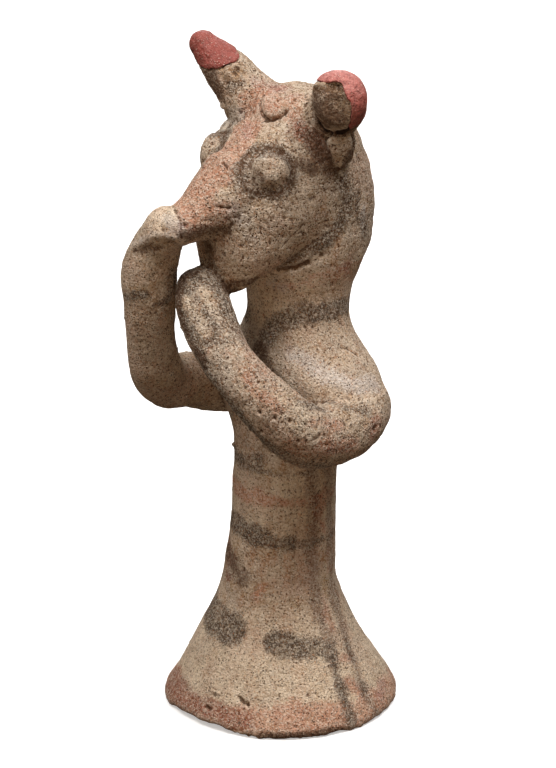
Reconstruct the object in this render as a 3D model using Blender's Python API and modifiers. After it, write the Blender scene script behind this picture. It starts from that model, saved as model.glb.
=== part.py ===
"""A hand-built terracotta figure that holds a bull mask to its head with both hands.

The clay is one fired piece: a flared column, shoulders and neck in one, the mask, two rolled arms,
two horns, two ears and three pellets. The tips of both horns are lost and made up in red fill.
Metres, +Z up. The figure faces -Y, its left side is +X, and it stands on Z = 0.
"""

import math

import bmesh
import bpy
import numpy as np
from mathutils import Matrix, Vector

# Driving sizes of the figure
FIGURE_HEIGHT = 0.1320
BASE_WIDTH = 0.0466
STEM_WIDTH = 0.0202
SHOULDER_WIDTH = 0.0412
NECK_WIDTH = 0.0196
HEAD_WIDTH = 0.0248
ARM_THICKNESS = 0.0106
HORN_THICKNESS = 0.0104
EYE_WIDTH = 0.0078
KNOB_WIDTH = 0.0048

# The red fills on the broken horns
FILL_GAP = 0.0003
FILL_PROUD = 0.0002

# Places on the figure are written in steps of its height, 132 of them, each about 1 mm
STEP = FIGURE_HEIGHT / 132

# Fineness of the fused clay
CLAY_GRAIN = 0.0006
CLAY_SMOOTHING = 4
CLAY_TRIANGLES = 8600


def spot(x, y, z):
    """A place on the figure, given in steps."""
    return Vector((x, y, z)) * STEP


def refined(rows, count):
    """A table read at count even places along the smooth curve through its rows."""
    rows = np.array(rows, float)
    at = np.linspace(0, len(rows) - 1, count)
    low = np.clip(at.astype(int), 0, len(rows) - 2)
    share = (at - low)[:, None]
    first, second = rows[low], rows[low + 1]
    leaving = (second - rows[np.maximum(low - 1, 0)]) / 2
    arriving = (rows[np.minimum(low + 2, len(rows) - 1)] - first) / 2
    return (
        first * (2 * share**3 - 3 * share**2 + 1)
        + leaving * (share**3 - 2 * share**2 + share)
        + second * (3 * share**2 - 2 * share**3)
        + arriving * (share**3 - share**2)
    )


def new_object(name, mesh, collection):
    made = bpy.data.objects.new(name, mesh)
    collection.objects.link(made)
    return made


def object_from(shape, name, collection):
    """The bmesh as a new object, with its faces turned outwards."""
    bmesh.ops.recalc_face_normals(shape, faces=shape.faces)
    mesh = bpy.data.meshes.new(name)
    shape.to_mesh(mesh)
    shape.free()
    return new_object(name, mesh, collection)


def loft(name, rings, collection, segments=48):
    """A closed skin through rings. Each is the matrix of a unit circle and the power that squares it."""
    shape = bmesh.new()
    loops = []
    for matrix, power in rings:
        circle = bmesh.ops.create_circle(shape, segments=segments, radius=1)["verts"]
        for corner in circle:
            squared = [math.copysign(abs(value) ** power, value) for value in corner.co.xy]
            corner.co = matrix @ Vector((*squared, 0))
        loops.append({edge for corner in circle for edge in corner.link_edges})
    for lower, upper in zip(loops, loops[1:]):
        bmesh.ops.bridge_loops(shape, edges=list(lower | upper))
    bmesh.ops.holes_fill(shape, edges=shape.edges, sides=segments)
    return object_from(shape, name, collection)


def coil(name, rows, collection):
    """A rolled coil of clay with round ends. Each row is a place in steps and the radius there."""
    points = refined([(*spot(*place), radius) for place, radius in rows], 1 + 5 * (len(rows) - 1))
    ends = []
    for end, inner in ((points[0], points[1]), (points[-1], points[-2])):
        outwards = (end[:3] - inner[:3]) / np.linalg.norm(end[:3] - inner[:3])
        angles = np.radians((20, 40, 60, 80))
        places = end[:3] + np.outer(np.sin(angles) * end[3], outwards)
        ends.append(np.column_stack((places, np.cos(angles) * end[3])))
    points = np.concatenate((ends[0][::-1], points, ends[1]))
    curve = bpy.data.curves.new(name, "CURVE")
    curve.dimensions = "3D"
    curve.bevel_depth = 1
    curve.bevel_resolution = 4
    curve.use_fill_caps = True
    spline = curve.splines.new("POLY")
    spline.points.add(len(points) - 1)
    for corner, point in zip(spline.points, points):
        corner.co = (*point[:3], 1)
        corner.radius = point[3]
    guide = new_object(name, curve, collection)
    bpy.context.view_layer.update()
    graph = bpy.context.evaluated_depsgraph_get()
    shape = bmesh.new()
    shape.from_mesh(bpy.data.meshes.new_from_object(guide.evaluated_get(graph)))
    bpy.data.objects.remove(guide)
    bmesh.ops.remove_doubles(shape, verts=shape.verts, dist=1e-6)
    return object_from(shape, name, collection)


def pellet(name, place, radii, turns, collection):
    """A pressed ball of clay: half sizes along its own axes, then turns in degrees about X, Y and Z."""
    matrix = Matrix.Translation(place)
    for angle, axis in zip(reversed(turns), "ZYX"):
        matrix = matrix @ Matrix.Rotation(math.radians(angle), 4, axis)
    shape = bmesh.new()
    stretch = Matrix.Diagonal((*radii, 1))
    bmesh.ops.create_uvsphere(shape, u_segments=24, v_segments=16, radius=1, matrix=matrix @ stretch)
    return object_from(shape, name, collection)


def column(collection):
    """The turned column with its flared foot, the sloping shoulders, the neck and the back of the head."""
    base = BASE_WIDTH / 2 / STEP
    stem = STEM_WIDTH / 2 / STEP
    shoulder = SHOULDER_WIDTH / 2 / STEP
    neck = NECK_WIDTH / 2 / STEP
    head = HEAD_WIDTH / 2 / STEP
    # Height, centre in X and in Y, half width, half depth
    rows = [
        (-1.5, -0.2, -0.2, base * 0.99, base * 0.98),
        (0.0, -0.2, -0.2, base * 0.99, base * 0.98),
        (1.3, -0.2, -0.2, base, base * 0.99),
        (2.8, -0.1, -0.1, base * 0.960, base * 0.955),
        (6.7, -0.1, -0.1, base * 0.855, base * 0.855),
        (10.4, -0.2, -0.3, base * 0.765, base * 0.765),
        (13.9, -0.4, -0.5, base * 0.685, base * 0.685),
        (17.6, -0.4, -0.5, base * 0.605, base * 0.605),
        (21.5, -0.3, -0.4, base * 0.533, base * 0.533),
        (25.5, -0.3, -0.4, stem * 1.11, stem * 1.11),
        (30.7, -0.1, -0.1, stem * 1.06, stem * 1.06),
        (38.0, 0.1, 0.2, stem * 1.01, stem * 1.01),
        (46.0, 0.3, 0.5, stem, stem),
        (51.0, 0.4, 0.8, stem * 1.01, stem),
        (54.5, 0.4, 1.8, stem * 1.18, stem * 1.04),
        (58.0, 0.3, 3.2, shoulder * 0.80, stem * 1.12),
        (61.5, 0.1, 4.0, shoulder * 0.98, stem * 1.18),
        (65.0, 0.0, 4.3, shoulder * 1.02, stem * 1.20),
        (68.5, 0.0, 4.2, shoulder * 0.97, stem * 1.19),
        (71.5, 0.0, 4.0, shoulder * 0.80, stem * 1.12),
        (74.5, 0.0, 3.8, shoulder * 0.62, stem * 1.03),
        (77.5, 0.0, 3.8, neck * 1.06, neck * 1.00),
        (81.0, 0.0, 4.0, neck, neck),
        (85.0, 0.0, 4.4, neck * 1.03, neck * 1.09),
        (89.0, 0.0, 5.0, neck * 1.14, neck * 1.22),
        (94.0, 0.0, 5.7, head * 0.96, neck * 1.34),
        (100.0, 0.0, 5.9, head * 0.99, neck * 1.39),
        (106.0, 0.0, 5.3, head, neck * 1.33),
        (111.0, 0.0, 4.5, head * 0.98, neck * 1.22),
        (115.5, 0.0, 3.9, head * 0.92, neck * 1.08),
        (119.0, 0.0, 3.9, head * 0.82, neck * 0.90),
        (121.5, 0.0, 4.2, head * 0.64, neck * 0.64),
        (122.9, 0.0, 4.4, head * 0.36, neck * 0.34),
    ]
    rings = []
    for height, centre_x, centre_y, half_width, half_depth in refined(rows, 4 * len(rows)):
        size = Matrix.Diagonal((half_width * STEP, half_depth * STEP, 1, 1))
        rings.append((Matrix.Translation(spot(centre_x, centre_y, height)) @ size, 1))
    return wear_rim(loft("column", rings, collection))


def wear_rim(body):
    """The foot's lower edge chipped back: one broad break at the front and shallow ones round it."""
    # Direction and half spread in degrees, depth in steps
    chips = [(-84, 30, 3.6), (-38, 14, 0.7), (-12, 12, 0.9), (24, 18, 0.8), (95, 26, 1.0), (170, 20, 1.2)]
    chip_height = 3.0 * STEP
    for corner in body.data.vertices:
        if corner.co.z > chip_height:
            continue
        depth = 0
        for direction, spread, deep in chips:
            away = math.degrees(math.atan2(corner.co.y, corner.co.x)) - direction
            away = (away + 180) % 360 - 180
            depth += deep * STEP * max(0, 1 - (away / spread) ** 2)
        depth *= 1 - max(0, corner.co.z) / chip_height
        corner.co.xy *= 1 - depth / corner.co.xy.length
    return body


def mask(collection):
    """The bull mask: a wedge from the middle of the head down to the jaw, and the snout in front of it."""
    head = HEAD_WIDTH / 2 / STEP
    # Depth in Y, top, bottom, half width
    rows = [
        (4.6, 121.4, 94.0, head * 1.03),
        (1.0, 121.8, 91.8, head * 1.04),
        (-3.0, 119.8, 90.2, head * 1.00),
        (-7.0, 116.9, 88.8, head * 0.94),
        (-10.6, 114.2, 87.2, head * 0.84),
        (-13.0, 112.2, 85.8, head * 0.72),
        (-15.0, 110.4, 86.2, head * 0.58),
        (-16.6, 108.8, 88.0, head * 0.42),
        (-17.6, 107.0, 91.0, head * 0.24),
    ]
    rings = []
    for depth, top, bottom, half_width in refined(rows, 5 * len(rows)):
        upright = Matrix.Rotation(math.radians(90), 4, "X")
        size = Matrix.Diagonal((half_width * STEP, (top - bottom) / 2 * STEP, 1, 1))
        rings.append((Matrix.Translation(spot(0, depth, (top + bottom) / 2)) @ upright @ size, 0.85))
    snout = [
        ((0, -12.0, 104.6), 8.4 * STEP),
        ((0, -16.0, 103.4), 6.7 * STEP),
        ((0, -20.0, 101.9), 5.1 * STEP),
        ((0, -23.6, 100.7), 4.0 * STEP),
    ]
    return [loft("mask", rings, collection), coil("snout", snout, collection)]


def arms(collection):
    """The left arm sweeps round under the chest to the jaw; the right one bends square to the muzzle."""
    thick = ARM_THICKNESS / 2
    shoulder = SHOULDER_WIDTH / 2 / STEP
    left = [
        ((shoulder * 0.50, 9.6, 64.2), thick * 1.00),
        ((shoulder * 0.79, 6.2, 62.8), thick * 1.12),
        ((shoulder * 0.90, 1.0, 61.0), thick * 1.15),
        ((shoulder * 0.95, -6.0, 60.6), thick * 1.14),
        ((shoulder * 0.96, -12.4, 63.4), thick * 1.12),
        ((shoulder * 0.84, -17.8, 69.6), thick * 1.08),
        ((shoulder * 0.57, -20.5, 76.0), thick * 1.06),
        ((6.0, -20.6, 80.4), thick * 1.05),
        ((1.4, -19.8, 84.9), thick * 1.02),
        ((-0.3, -19.2, 87.0), thick * 0.86),
    ]
    right = [
        ((shoulder * -0.60, 6.0, 60.8), thick * 1.00),
        ((shoulder * -0.84, -1.0, 60.2), thick * 1.02),
        ((shoulder * -0.85, -9.0, 62.8), thick * 1.04),
        ((shoulder * -0.77, -16.2, 64.7), thick * 1.00),
        ((-12.8, -20.8, 69.4), thick * 1.00),
        ((-11.3, -22.9, 76.0), thick * 0.98),
        ((-9.7, -24.2, 84.0), thick * 1.02),
        ((-9.1, -24.6, 90.0), thick * 1.02),
        ((-6.9, -24.3, 95.2), thick * 0.86),
        ((-3.4, -24.8, 99.4), thick * 0.80),
    ]
    return [coil("left_arm", left, collection), coil("right_arm", right, collection)]


def horn(side, proud, collection):
    """A horn with its lost tip, side 1 on the left and -1 on the right. Proud thickens it."""
    thick = HORN_THICKNESS / 2
    if side < 0:
        route = ((-6.2, 0.2, 117.8), (-9.4, -1.4, 121.4), (-13.1, -3.5, 125.4), (-17.0, -5.7, 129.3))
        taper = (1.16, 1.06, 0.91, 0.49)
    else:
        route = ((4.4, 3.6, 116.6), (8.8, 4.5, 118.8), (12.2, 3.4, 121.3), (15.3, 1.2, 123.9))
        taper = (1.04, 1.04, 1.03, 1.00)
    rows = [(place, thick * share + proud) for place, share in zip(route, taper)]
    return coil("horn", rows, collection)


def small_features(collection):
    """The eyes, the ears and the knob on the forehead, each a pressed pellet."""
    eye = EYE_WIDTH / 2
    knob = KNOB_WIDTH / 2
    head = HEAD_WIDTH / 2 / STEP
    ear = (1.8 * STEP, 2.7 * STEP, 4.9 * STEP)
    return [
        pellet("eye", spot(head * 0.75, -10.2, 110.5), (eye * 0.76, eye, eye * 0.86), (0, 0, -38), collection),
        pellet("eye", spot(head * -0.73, -9.2, 111.0), (eye * 0.76, eye, eye * 0.96), (0, 0, 38), collection),
        pellet("ear", spot(head * 1.12, 4.2, 113.0), ear, (8, 14, -20), collection),
        pellet("ear", spot(head * -1.02, -2.4, 116.2), ear, (8, -14, 20), collection),
        pellet("knob", spot(0, -3.2, 120.3), (knob, knob, knob * 0.56), (40, 0, 0), collection),
    ]


def fused(name, members, collection):
    """The members luted into one body of clay: joined, refilled at the clay's grain and wiped smooth."""
    shape = bmesh.new()
    for member in members:
        shape.from_mesh(member.data)
        bpy.data.objects.remove(member)
    body = object_from(shape, name, collection)
    refill = body.modifiers.new("refill", "REMESH")
    refill.mode = "VOXEL"
    refill.voxel_size = CLAY_GRAIN
    refill.use_smooth_shade = True
    wipe = body.modifiers.new("wipe", "SMOOTH")
    wipe.iterations = CLAY_SMOOTHING
    bpy.context.view_layer.update()
    graph = bpy.context.evaluated_depsgraph_get()
    refilled_faces = len(body.evaluated_get(graph).data.polygons)
    thin = body.modifiers.new("thin", "DECIMATE")
    thin.ratio = min(1, CLAY_TRIANGLES / (2 * refilled_faces))
    return body


def block(name, place, outwards, size, collection, along=None):
    """A cutting block that reaches outwards from a place, and from there along, where that is given."""
    outwards = outwards.normalized()
    sideways = outwards.cross(along or outwards.orthogonal()).normalized()
    turn = Matrix((sideways.cross(outwards), sideways, outwards)).transposed().to_4x4()
    centre = (size / 2 if along else 0, 0, size / 2)
    stretch = Matrix.Diagonal((size, size, size, 1))
    matrix = Matrix.Translation(place) @ turn @ Matrix.Translation(centre) @ stretch
    shape = bmesh.new()
    bmesh.ops.create_cube(shape, size=1, matrix=matrix)
    made = object_from(shape, name, collection)
    made.hide_render = True
    made.display_type = "WIRE"
    return made


def cut(body, cutter, operation):
    change = body.modifiers.new(cutter.name, "BOOLEAN")
    change.operation = operation
    change.object = cutter


def material(name, colour, roughness):
    made = bpy.data.materials.new(name)
    made.use_nodes = True
    shader = made.node_tree.nodes["Principled BSDF"]
    shader.inputs["Base Color"].default_value = (*colour, 1)
    shader.inputs["Roughness"].default_value = roughness
    return made


def main():
    for old in list(bpy.data.objects):
        bpy.data.objects.remove(old)
    pieces = bpy.data.collections.new("masked_figure")
    cutters = bpy.data.collections.new("cutters")
    for collection in (pieces, cutters):
        bpy.context.scene.collection.children.link(collection)
    clay = material("fired_clay", (0.56, 0.44, 0.33), 0.95)
    red = material("red_fill", (0.55, 0.16, 0.13), 0.6)

    members = [column(pieces), *mask(pieces), *arms(pieces), *small_features(pieces)]
    members += [horn(1, 0, pieces), horn(-1, 0, pieces)]
    figure = fused("figure", members, pieces)
    figure.data.materials.append(clay)
    cut(figure, block("ground", Vector((0, 0, 0)), Vector((0, 0, -1)), 2 * BASE_WIDTH, cutters), "DIFFERENCE")

    reach = 4 * HORN_THICKNESS
    breaks = {
        "horn_tip_left": (1, spot(12.2, 2.2, 121.6), Vector((-0.08, 0.95, 0.52)), Vector((0.69, -0.32, 0.65))),
        "horn_tip_right": (-1, spot(-14.1, -4.0, 126.5), Vector((-0.41, 0.13, 0.91)), None),
    }
    for name, (side, place, outwards, along) in breaks.items():
        lost = block(name + "_lost", place, outwards, reach, cutters, along)
        cut(figure, lost, "DIFFERENCE")
        clear = place + FILL_GAP * (outwards.normalized() + (along or Vector()))
        fill = horn(side, FILL_PROUD, pieces)
        fill.name = name
        cut(fill, block(name + "_kept", clear, outwards, reach, cutters, along), "INTERSECT")
        fill.data.materials.append(red)
        fill.data.shade_smooth()


main()
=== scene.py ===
"""The looks of a hand-built terracotta figure that holds a bull mask to its head.

The figure stands on Z = 0 and faces -Y, and its left side is +X. Places are written in steps of its
height, 132 of them, each about 1 mm, as they are where its solids are modelled.
"""

import bmesh
import bpy
import numpy as np
from mathutils import Euler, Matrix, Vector


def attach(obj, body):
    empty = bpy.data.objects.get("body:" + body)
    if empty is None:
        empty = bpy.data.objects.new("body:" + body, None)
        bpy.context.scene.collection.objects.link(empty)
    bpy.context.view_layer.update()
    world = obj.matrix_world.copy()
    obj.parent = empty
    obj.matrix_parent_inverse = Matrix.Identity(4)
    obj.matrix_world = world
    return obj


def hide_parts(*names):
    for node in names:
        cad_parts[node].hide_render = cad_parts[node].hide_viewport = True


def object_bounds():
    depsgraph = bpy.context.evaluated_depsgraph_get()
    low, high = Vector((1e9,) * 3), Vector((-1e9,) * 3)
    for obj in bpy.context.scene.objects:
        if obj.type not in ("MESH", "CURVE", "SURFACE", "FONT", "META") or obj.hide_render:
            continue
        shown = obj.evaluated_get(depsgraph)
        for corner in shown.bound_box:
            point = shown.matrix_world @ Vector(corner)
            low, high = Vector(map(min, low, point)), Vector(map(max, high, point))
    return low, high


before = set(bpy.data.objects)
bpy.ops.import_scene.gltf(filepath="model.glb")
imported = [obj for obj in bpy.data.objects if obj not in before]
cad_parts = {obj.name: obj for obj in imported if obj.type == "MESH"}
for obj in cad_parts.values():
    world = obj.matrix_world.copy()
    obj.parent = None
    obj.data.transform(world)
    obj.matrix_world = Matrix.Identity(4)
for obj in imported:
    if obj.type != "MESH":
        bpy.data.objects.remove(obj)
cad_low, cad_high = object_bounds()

# The column. The body is one pillar of coarse buff clay, pinched out below into a flared foot and above
# into sloping shoulders, a neck and the back of the head. It is turned by hand, so its rounds are not
# quite round, and the foot's edge is chipped, most of all at the front.

STEP = cad_high.z / 132
STEM = 10.1
BASE = 23.3
SHOULDER = 20.6
NECK = 9.8
HEAD = 12.4


def refined(rows, count):
    """A table read at count even places along a smooth curve through its rows: between two rows a cubic
    blends them, and leaves and arrives with half the difference of the rows on either side."""
    rows = np.array(rows, float)
    at = np.linspace(0, len(rows) - 1, count)
    low = np.clip(at.astype(int), 0, len(rows) - 2)
    share = (at - low)[:, None]
    first, second = rows[low], rows[low + 1]
    leaving = (second - rows[np.maximum(low - 1, 0)]) / 2
    arriving = (rows[np.minimum(low + 2, len(rows) - 1)] - first) / 2
    return (
        first * (2 * share**3 - 3 * share**2 + 1)
        + leaving * (share**3 - 2 * share**2 + share)
        + second * (3 * share**2 - 2 * share**3)
        + arriving * (share**3 - share**2)
    )


def skin(grid):
    """A closed skin over a grid of points, rings along the first axis and round each ring along the
    second: every four neighbours make two triangles, and each end closes in a fan on its ring's mean."""
    rings, around = grid.shape[:2]
    index = np.arange(rings * around).reshape(rings, around)
    ahead = np.roll(index, -1, axis=1)
    side = np.stack((index[:-1], ahead[:-1], ahead[1:], index[:-1], ahead[1:], index[1:]), -1)
    first = np.stack((np.full(around, rings * around), ahead[0], index[0]), -1)
    last = np.stack((np.full(around, rings * around + 1), index[-1], ahead[-1]), -1)
    places = np.concatenate((grid.reshape(-1, 3), grid[:1].mean(1), grid[-1:].mean(1)))
    return places, np.concatenate((side.reshape(-1, 3), first, last))


COLUMN_ROWS = [
    # height, centre in X and in Y, half width, half depth
    (0, -0.2, -0.2, BASE * 0.99, BASE * 0.98),
    (1.3, -0.2, -0.2, BASE, BASE * 0.99),
    (2.8, -0.1, -0.1, BASE * 0.96, BASE * 0.955),
    (6.7, -0.1, -0.1, BASE * 0.855, BASE * 0.855),
    (10.4, -0.2, -0.3, BASE * 0.765, BASE * 0.765),
    (13.9, -0.4, -0.5, BASE * 0.685, BASE * 0.685),
    (17.6, -0.4, -0.5, BASE * 0.605, BASE * 0.605),
    (21.5, -0.3, -0.4, BASE * 0.533, BASE * 0.533),
    (25.5, -0.3, -0.4, STEM * 1.11, STEM * 1.11),
    (30.7, -0.1, -0.1, STEM * 1.06, STEM * 1.06),
    (38, 0.1, 0.2, STEM * 1.01, STEM * 1.01),
    (46, 0.3, 0.5, STEM, STEM),
    (51, 0.4, 0.8, STEM * 1.01, STEM),
    (54.5, 0.4, 1.8, STEM * 1.18, STEM * 1.04),
    (58, 0.3, 3.2, SHOULDER * 0.8, STEM * 1.12),
    (61.5, 0.1, 4, SHOULDER * 0.98, STEM * 1.18),
    (65, 0, 4.3, SHOULDER * 1.02, STEM * 1.2),
    (68.5, 0, 4.2, SHOULDER * 0.97, STEM * 1.19),
    (71.5, 0, 4, SHOULDER * 0.8, STEM * 1.12),
    (74.5, 0, 3.8, SHOULDER * 0.62, STEM * 1.03),
    (77.5, 0, 3.8, NECK * 1.06, NECK),
    (81, 0, 4, NECK, NECK),
    (85, 0, 4.4, NECK * 1.03, NECK * 1.09),
    (89, 0, 5, NECK * 1.14, NECK * 1.22),
    (94, 0, 5.7, HEAD * 0.96, NECK * 1.34),
    (100, 0, 5.9, HEAD * 0.99, NECK * 1.39),
    (106, 0, 5.3, HEAD, NECK * 1.33),
    (111, 0, 4.5, HEAD * 0.98, NECK * 1.22),
    (115.5, 0, 3.9, HEAD * 0.92, NECK * 1.08),
    (119, 0, 3.9, HEAD * 0.82, NECK * 0.9),
    (121.5, 0, 4.2, HEAD * 0.64, NECK * 0.64),
    (122.9, 0, 4.4, HEAD * 0.36, NECK * 0.34),
]


def around_ring(count):
    """The cosine and sine of count even turns round a ring, as one row each."""
    turn = np.linspace(0, 2 * np.pi, count, endpoint=False)
    return np.cos(turn)[None], np.sin(turn)[None]


def column():
    """Level ellipses: centre + (half width x cosine, half depth x sine), stacked up the rows' heights.
    Near the ground each chip pulls the ring in and up by its depth x (1 - (angle off it / spread)^2)."""
    rows = refined(COLUMN_ROWS, 260)
    height, centre_x, centre_y, half_width, half_depth = (rows[:, [at]] for at in range(5))
    across, deep = around_ring(192)
    x, y = centre_x + half_width * across, centre_y + half_depth * deep
    direction = np.degrees(np.arctan2(y, x))
    # Direction and half spread in degrees, depth in steps
    chips = [
        (-84, 30, 0.9), (-38, 14, 0.2), (-12, 12, 0.25), (24, 18, 0.2), (95, 26, 0.3), (170, 20, 0.35),
    ]
    fade = np.clip(1 - height / 3, 0, 1)
    worn = 0
    for middle, spread, depth in chips:
        off = (direction - middle + 180) % 360 - 180
        worn = worn + fade * depth * np.maximum(0, 1 - (off / spread) ** 2)
    kept = 1 - worn / np.hypot(x, y)
    return skin(np.stack((x * kept, y * kept, height + worn), -1))


def on_column(direction, height):
    """The place on the column in a direction, in degrees from +X, at a height."""
    rows = np.array(COLUMN_ROWS)
    centre_x, centre_y, half_width, half_depth = (
        np.interp(height, rows[:, 0], rows[:, at]) for at in range(1, 5)
    )
    angle = np.radians(direction)
    return centre_x + half_width * np.cos(angle), centre_y + half_depth * np.sin(angle), height


clay = [column()]

# The mask. A bull's face, modelled as a wedge of clay from the middle of the head down to the jaw, with a
# long snout drawn out of it. It is pressed onto the front of the head, and its rear edge stays proud.

MASK_ROWS = [
    # depth in Y, top, bottom, half width
    (4.6, 121.4, 94, HEAD * 1.03),
    (1, 121.8, 91.8, HEAD * 1.04),
    (-3, 119.8, 90.2, HEAD),
    (-7, 116.9, 88.8, HEAD * 0.94),
    (-10.6, 114.2, 87.2, HEAD * 0.84),
    (-13, 112.2, 85.8, HEAD * 0.72),
    (-15, 110.4, 86.2, HEAD * 0.58),
    (-16.6, 108.8, 88, HEAD * 0.42),
    (-17.6, 107, 91, HEAD * 0.24),
]
SNOUT_ROWS = [
    # X, Y, Z, radius
    (0, -12, 104.6, 8.4),
    (0, -16, 103.2, 6.5),
    (0, -20, 101.65, 4.85),
    (0, -23.6, 100.5, 3.85),
]


def wedge():
    """Upright rings from back to front: cosine and sine, raised to 0.85 to square them a little, times
    the half width and half height that the rows give at each depth."""
    rows = refined(MASK_ROWS, 120)
    depth, top, bottom, half_width = (rows[:, [at]] for at in range(4))
    across, up = (np.sign(part) * abs(part) ** 0.85 for part in around_ring(144))
    x, z = half_width * across, (top + bottom) / 2 + (top - bottom) / 2 * up
    return skin(np.stack((x, depth + 0 * x, z), -1))


def coil(rows, around=64, closeness=12):
    """A rolled coil: round sections carried along the smooth path through the rows, each row a place and
    a radius, with a dome at each end. Sections are turned by the direction the path strays into least."""
    path = refined(rows, 1 + closeness * (len(rows) - 1))
    bend = np.radians(np.arange(8, 90, 8))
    ends = []
    for end, inner in ((path[0], path[1]), (path[-1], path[-2])):
        outwards = (end[:3] - inner[:3]) / np.linalg.norm(end[:3] - inner[:3])
        places = end[:3] + np.outer(np.sin(bend) * end[3], outwards)
        ends.append(np.column_stack((places, np.cos(bend) * end[3])))
    path = np.concatenate((ends[0][::-1], path, ends[1]))
    places, radius = path[:, :3], path[:, 3, None, None]
    along = np.gradient(places, axis=0)
    along /= np.linalg.norm(along, axis=1)[:, None]
    least = np.linalg.svd(places - places.mean(0))[2][2]
    first = np.cross(along, least)
    first /= np.linalg.norm(first, axis=1)[:, None]
    second = np.cross(along, first)
    across, up = (part[0][:, None] for part in around_ring(around))
    ring = first[:, None] * across + second[:, None] * up
    return skin(places[:, None] + radius * ring)


clay += [wedge(), coil(SNOUT_ROWS)]

# The arms. Two rolled coils of clay, luted on at the shoulders. The left one sweeps round in front of
# the chest to the jaw, and the right one bends square and reaches up to the muzzle.

LEFT_ARM = [
    (SHOULDER * 0.5, 9.6, 64.2, 5.3),
    (SHOULDER * 0.79, 6.2, 62.8, 5.9),
    (SHOULDER * 0.9, 1, 61, 6.1),
    (SHOULDER * 0.95, -6, 60.6, 6),
    (SHOULDER * 0.96, -12.4, 63.4, 5.9),
    (17.2, -17.9, 69.5, 5.4),
    (11.3, -20.8, 75.6, 4.85),
    (5.8, -20.7, 80.1, 5.15),
    (1.4, -19.8, 84.9, 5.3),
    (-0.3, -19.2, 87, 4.6),
]
RIGHT_ARM = [
    (SHOULDER * -0.6, 6, 60.8, 5.3),
    (SHOULDER * -0.84, -1, 60.2, 5.4),
    (SHOULDER * -0.85, -9, 62.8, 5.5),
    (SHOULDER * -0.77, -16.2, 64.7, 5.2),
    (-12.8, -20.8, 69.4, 5),
    (-11.3, -22.9, 76, 4.75),
    (-9.7, -24.2, 84, 5.05),
    (-9.1, -24.6, 90, 5.3),
    (-6.9, -24.3, 95.2, 4.6),
    (-3.4, -24.8, 99.4, 4.2),
]

clay += [coil(LEFT_ARM), coil(RIGHT_ARM)]

# The pellets. Eyes, ears and the knob on the forehead are balls of clay pressed flat onto the head.

LEFT_EYE = (8.7, -9.75, 110.4)
RIGHT_EYE = (HEAD * -0.71, -9.2, 109.7)
KNOB = (0, -3.2, 120.3)


def pellet(place, radii, turns, point=0):
    """A sphere by latitude and turn, stretched to its three radii and narrowed towards its lower end by
    1 + point x sine of the latitude, turned in degrees and put in place."""
    latitude = np.radians(np.linspace(-87, 87, 30))[:, None]
    across, up = around_ring(48)
    wide = np.cos(latitude) * (1 + point * np.sin(latitude))
    ball = np.stack((wide * across, wide * up, np.sin(latitude) + 0 * up), -1)
    turned = np.array(Euler(np.radians(turns)).to_matrix())
    return skin((ball * radii) @ turned.T + place)


clay += [
    pellet(LEFT_EYE, (2.2, 3.8, 3.7), (0, 0, -38)),
    pellet(RIGHT_EYE, (2.9, 4, 4.4), (0, 0, 38)),
    pellet((-9.8, -4.9, 113.4), (2, 2.4, 2.5), (0, 0, 38)),
    pellet((-10.3, -6.4, 111.7), (2.1, 2.9, 2.3), (0, 0, 38)),
    pellet((HEAD * 1.11, 3.3, 112.8), (1.6, 2.6, 5), (8, 14, -20), 0.55),
    pellet((HEAD * -0.95, -1.8, 116.6), (1.8, 2.6, 4.3), (8, -14, 20), 0.45),
    pellet(KNOB, (2.5, 2.6, 1.3), (48, 0, 0)),
]

# The horns. Short tapering coils. Both have lost their tips, and smooth red fills make them up. A block
# with rough faces parts the fill from the clay, so that both keep the same broken seam.

LEFT_HORN = [
    (4.4, 3.6, 116.6, 4.9),
    (8.8, 4.4, 119, 4.9),
    (12.2, 3.4, 121.3, 5.2),
    (15.3, 1.2, 123.9, 5.2),
]
RIGHT_HORN = [
    (-6.2, 0.2, 117.8, 6),
    (-9.7, -1.8, 121.4, 5),
    (-13.3, -3.7, 125.4, 4.35),
    (-17, -5.7, 129.3, 2.55),
]
# Where a fill begins: a place, and the one or two ways that it reaches from there
LEFT_SEAM = ((12.35, 1.95, 121.4), (0.69, -0.32, 0.65), None)
RIGHT_SEAM = ((-8.3, -3.5, 127.4), (-0.04, -0.32, 0.95), (-0.54, -0.81, -0.23))
# The broken front of the left horn is still clay, on this side of its own seam, less the seam's corner
LEFT_FRONT = ((19.2, 1.5, 127.3), (0.138, -0.209, -0.964), (-0.62, -0.79, 0))
LEFT_CORNER = ((19.7, -0.5, 125.8), (0.47, 0.8, 0.37), None)
# How far a fill stands out from the clay
FILL_PROUD = 0.12


def noise(places, size, seed):
    """Smooth noise, about -1 to 1: a random slope at each corner of a lattice of cubes of the given size,
    times the way from that corner, blended over the cube by the fade 6t^5 - 15t^4 + 10t^3."""
    wrap = 32
    slopes = np.random.default_rng(seed).normal(size=(wrap, wrap, wrap, 3))
    slopes /= np.linalg.norm(slopes, axis=-1)[..., None]
    at = places / size
    cell = np.floor(at).astype(int)
    part = at - cell
    fade = part**3 * (part * (6 * part - 15) + 10)
    total = 0
    for corner in np.ndindex(2, 2, 2):
        x, y, z = ((cell + corner) % wrap).T
        weight = np.prod(np.where(corner, fade, 1 - fade), axis=1)
        total = total + weight * ((part - corner) * slopes[x, y, z]).sum(1)
    return total * 1.6


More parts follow.
